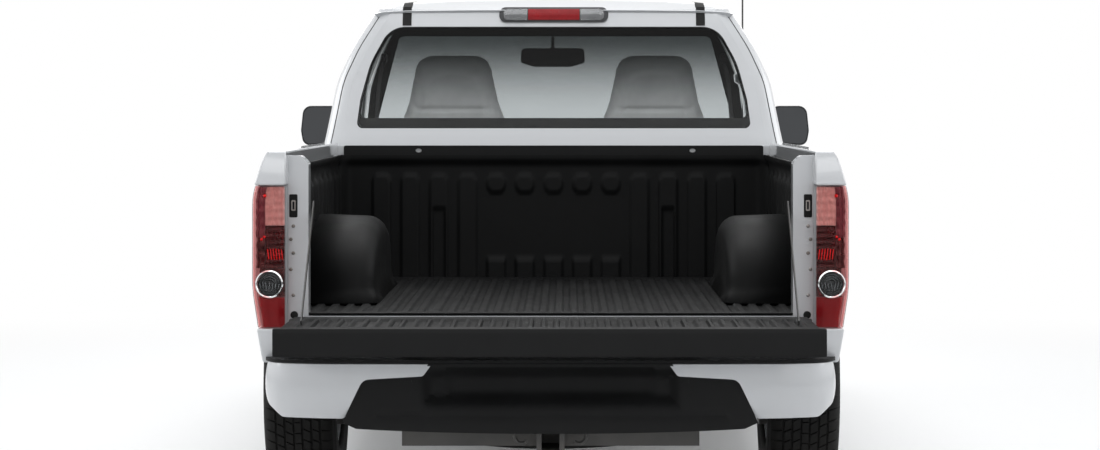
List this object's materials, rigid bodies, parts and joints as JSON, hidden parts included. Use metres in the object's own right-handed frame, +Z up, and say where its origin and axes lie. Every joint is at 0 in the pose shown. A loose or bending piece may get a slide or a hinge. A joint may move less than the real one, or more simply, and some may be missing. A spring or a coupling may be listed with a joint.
{
  "type": "pickup truck",
  "caption": "Single-cab pickup truck with an open lined bed, folding tailgate, opening doors and hood, turning wheels and steering.",
  "frame": {"origin": "on the ground under the middle of the truck, halfway between the open tailgate's end and the front bumper's nose", "axes": "+Y forwards along the truck, +X to its right-hand side, +Z up"},
  "size_m": [1.9916, 5.217, 1.74],
  "materials": {
    "body_paint": "clear-coated silver white paint",
    "chassis_black": "satin black chassis paint",
    "chassis_steel": "dull bare steel",
    "cast_metal": "cast surface",
    "cast_alloy": "cast alloy",
    "exhaust_steel": "heat-dulled steel",
    "tank_black": "black coated tank",
    "radiator_black": "black finned core",
    "trim_plastic": "grained black plastic",
    "liner_plastic": "satin black moulded plastic",
    "mirror_plastic": "grained dark grey plastic",
    "cabin_plastic": "soft grained plastic",
    "stay_black": "black folding stay",
    "antenna_black": "black mast",
    "lamp_red": "clear red lens",
    "lamp_clear": "clear lens over bright reflector",
    "window_glass": "lightly tinted",
    "seat_fabric": "woven grey seat cloth",
    "tyre_rubber": "black rubber",
    "wheel_alloy": "painted silver alloy"
  },
  "bodies": {
    "truck": {"frame_rails": "chassis_black", "cross_members": "chassis_black", "engine_block": "cast_metal", "gearbox": "cast_alloy", "driveshaft": "chassis_steel", "rear_axle": "chassis_black", "leaf_springs": "chassis_steel", "exhaust": "exhaust_steel", "fuel_tank": "tank_black", "front_suspension": "chassis_black", "cab_floor": "body_paint", "firewall": "body_paint", "cab_back": "body_paint", "cab_sides": "body_paint", "roof": "body_paint", "windscreen": "window_glass", "rear_window": "window_glass", "front_fenders": "body_paint", "radiator": "radiator_black", "grille": "trim_plastic", "front_bumper": "body_paint", "headlights": "lamp_clear", "bed_floor": "body_paint", "bed_sides": "body_paint", "bed_front": "body_paint", "wheelhouses": "body_paint", "bed_liner": "liner_plastic", "tail_lights": "lamp_red", "rear_bumper": "body_paint", "bumper_step": "trim_plastic", "hitch_receiver": "chassis_black", "seats": "seat_fabric", "dashboard": "cabin_plastic", "steering_wheel": "cabin_plastic", "high_brake_light": "lamp_red", "spare_tyre": "tyre_rubber", "antenna": "antenna_black"},
    "hood": {"hood": "body_paint"},
    "tailgate": {"tailgate": "liner_plastic", "tailgate_cables": "stay_black"},
    "door_left": {"door_left": "body_paint", "door_glass_left": "window_glass", "mirror_left": "mirror_plastic"},
    "door_right": {"door_right": "body_paint", "door_glass_right": "window_glass", "mirror_right": "mirror_plastic"},
    "knuckle_left": {"knuckle_left": "cast_metal"},
    "knuckle_right": {"knuckle_right": "cast_metal"},
    "tie_rod": {"tie_rod": "chassis_steel"},
    "wheel_front_left": {"tyre_front_left": "tyre_rubber", "rim_front_left": "wheel_alloy"},
    "wheel_front_right": {"tyre_front_right": "tyre_rubber", "rim_front_right": "wheel_alloy"},
    "wheel_rear_left": {"tyre_rear_left": "tyre_rubber", "rim_rear_left": "wheel_alloy"},
    "wheel_rear_right": {"tyre_rear_right": "tyre_rubber", "rim_rear_right": "wheel_alloy"}
  },
  "joints": [
    {"name": "hood_hinge", "type": "hinge", "parent": "truck", "child": "hood", "pos_m": [0, 1.3835, 1.03], "axis": [1, 0, 0], "range_deg": [0, 50]},
    {"name": "tailgate_hinge", "type": "hinge", "parent": "truck", "child": "tailgate", "pos_m": [0, -2.1085, 0.612], "axis": [-1, 0, 0], "range_deg": [0, 90], "deforming": ["tailgate_cables"]},
    {"name": "door_left_hinge", "type": "hinge", "parent": "truck", "child": "door_left", "pos_m": [-0.859, 1.0915, 0.75], "axis": [0, 0, -1], "range_deg": [0, 65]},
    {"name": "door_right_hinge", "type": "hinge", "parent": "truck", "child": "door_right", "pos_m": [0.859, 1.0915, 0.75], "axis": [0, 0, 1], "range_deg": [0, 65]},
    {"name": "steering_left", "type": "hinge", "parent": "truck", "child": "knuckle_left", "pos_m": [-0.69, 1.6885, 0.365], "axis": [0, 0, 1], "range_deg": [-33, 33]},
    {"name": "steering_right", "type": "hinge", "parent": "truck", "child": "knuckle_right", "pos_m": [0.69, 1.6885, 0.365], "axis": [0, 0, 1], "range_deg": [-33, 33]},
    {"name": "steering_rack", "type": "slide", "parent": "truck", "child": "tie_rod", "axis": [1, 0, 0], "range_m": [-0.066, 0.066]},
    {"name": "wheel_front_left_spin", "type": "hinge", "parent": "knuckle_left", "child": "wheel_front_left", "pos_m": [-0.785, 1.6885, 0.365], "axis": [1, 0, 0], "continuous": true},
    {"name": "wheel_front_right_spin", "type": "hinge", "parent": "knuckle_right", "child": "wheel_front_right", "pos_m": [0.785, 1.6885, 0.365], "axis": [1, 0, 0], "continuous": true},
    {"name": "wheel_rear_left_spin", "type": "hinge", "parent": "truck", "child": "wheel_rear_left", "pos_m": [-0.785, -1.1385, 0.365], "axis": [1, 0, 0], "continuous": true},
    {"name": "wheel_rear_right_spin", "type": "hinge", "parent": "truck", "child": "wheel_rear_right", "pos_m": [0.785, -1.1385, 0.365], "axis": [1, 0, 0], "continuous": true}
  ],
  "couplings": [
    {"joint": "steering_right", "follows": "steering_left", "ratio": 1},
    {"joint": "steering_rack", "follows": "steering_left", "m_per_rad": 0.1135}
  ]
}
